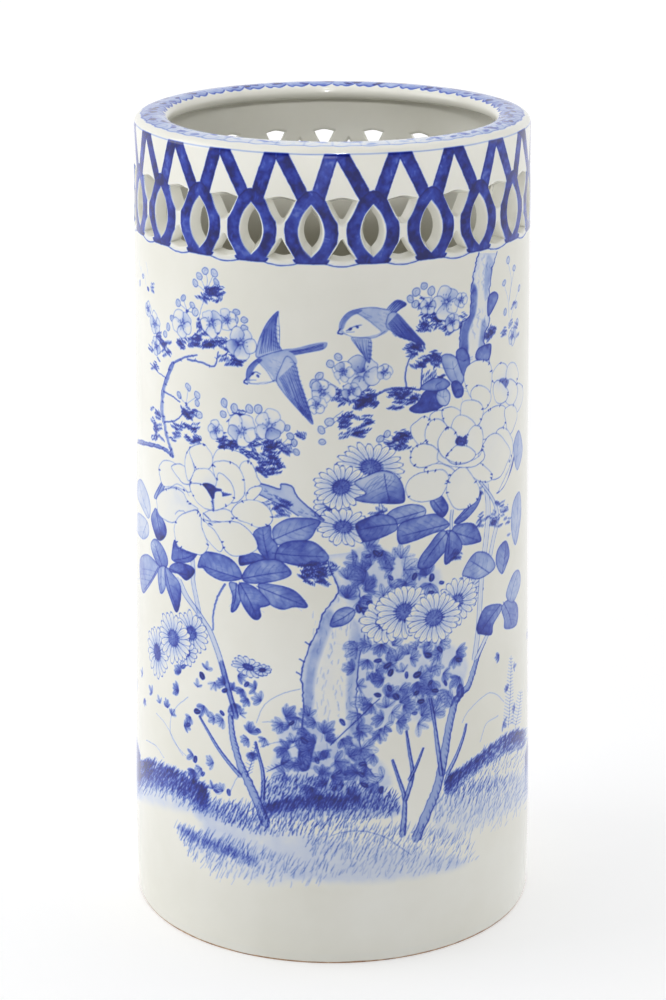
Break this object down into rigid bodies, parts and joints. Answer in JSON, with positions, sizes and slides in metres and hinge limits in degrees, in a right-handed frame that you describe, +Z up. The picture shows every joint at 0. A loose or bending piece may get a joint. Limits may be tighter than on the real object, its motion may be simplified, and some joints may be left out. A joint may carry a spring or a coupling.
{
  "type": "umbrella stand",
  "caption": "Tall cylindrical glazed porcelain umbrella stand with an inturned rim, a pierced gallery of pointed loops and cobalt blue painting.",
  "frame": {"origin": "centre of the standing face, on the floor", "axes": "+Z up along the axis of the cylinder; the front of the decoration faces -Y"},
  "size_m": [0.3077, 0.3076, 0.61],
  "materials": {
    "painted_glaze": "clear glossy glaze over cobalt blue painting on white porcelain",
    "clear_glaze": "clear glossy glaze on white porcelain",
    "unglazed_clay": "matte fired clay, light brown where the glaze stops"
  },
  "bodies": {
    "root": {"foot_ring": "unglazed_clay", "base_slab": "clear_glaze", "lower_wall": "painted_glaze", "upper_wall": "painted_glaze", "pierced_gallery": "painted_glaze", "rim_flange": "painted_glaze"}
  },
  "joints": []
}
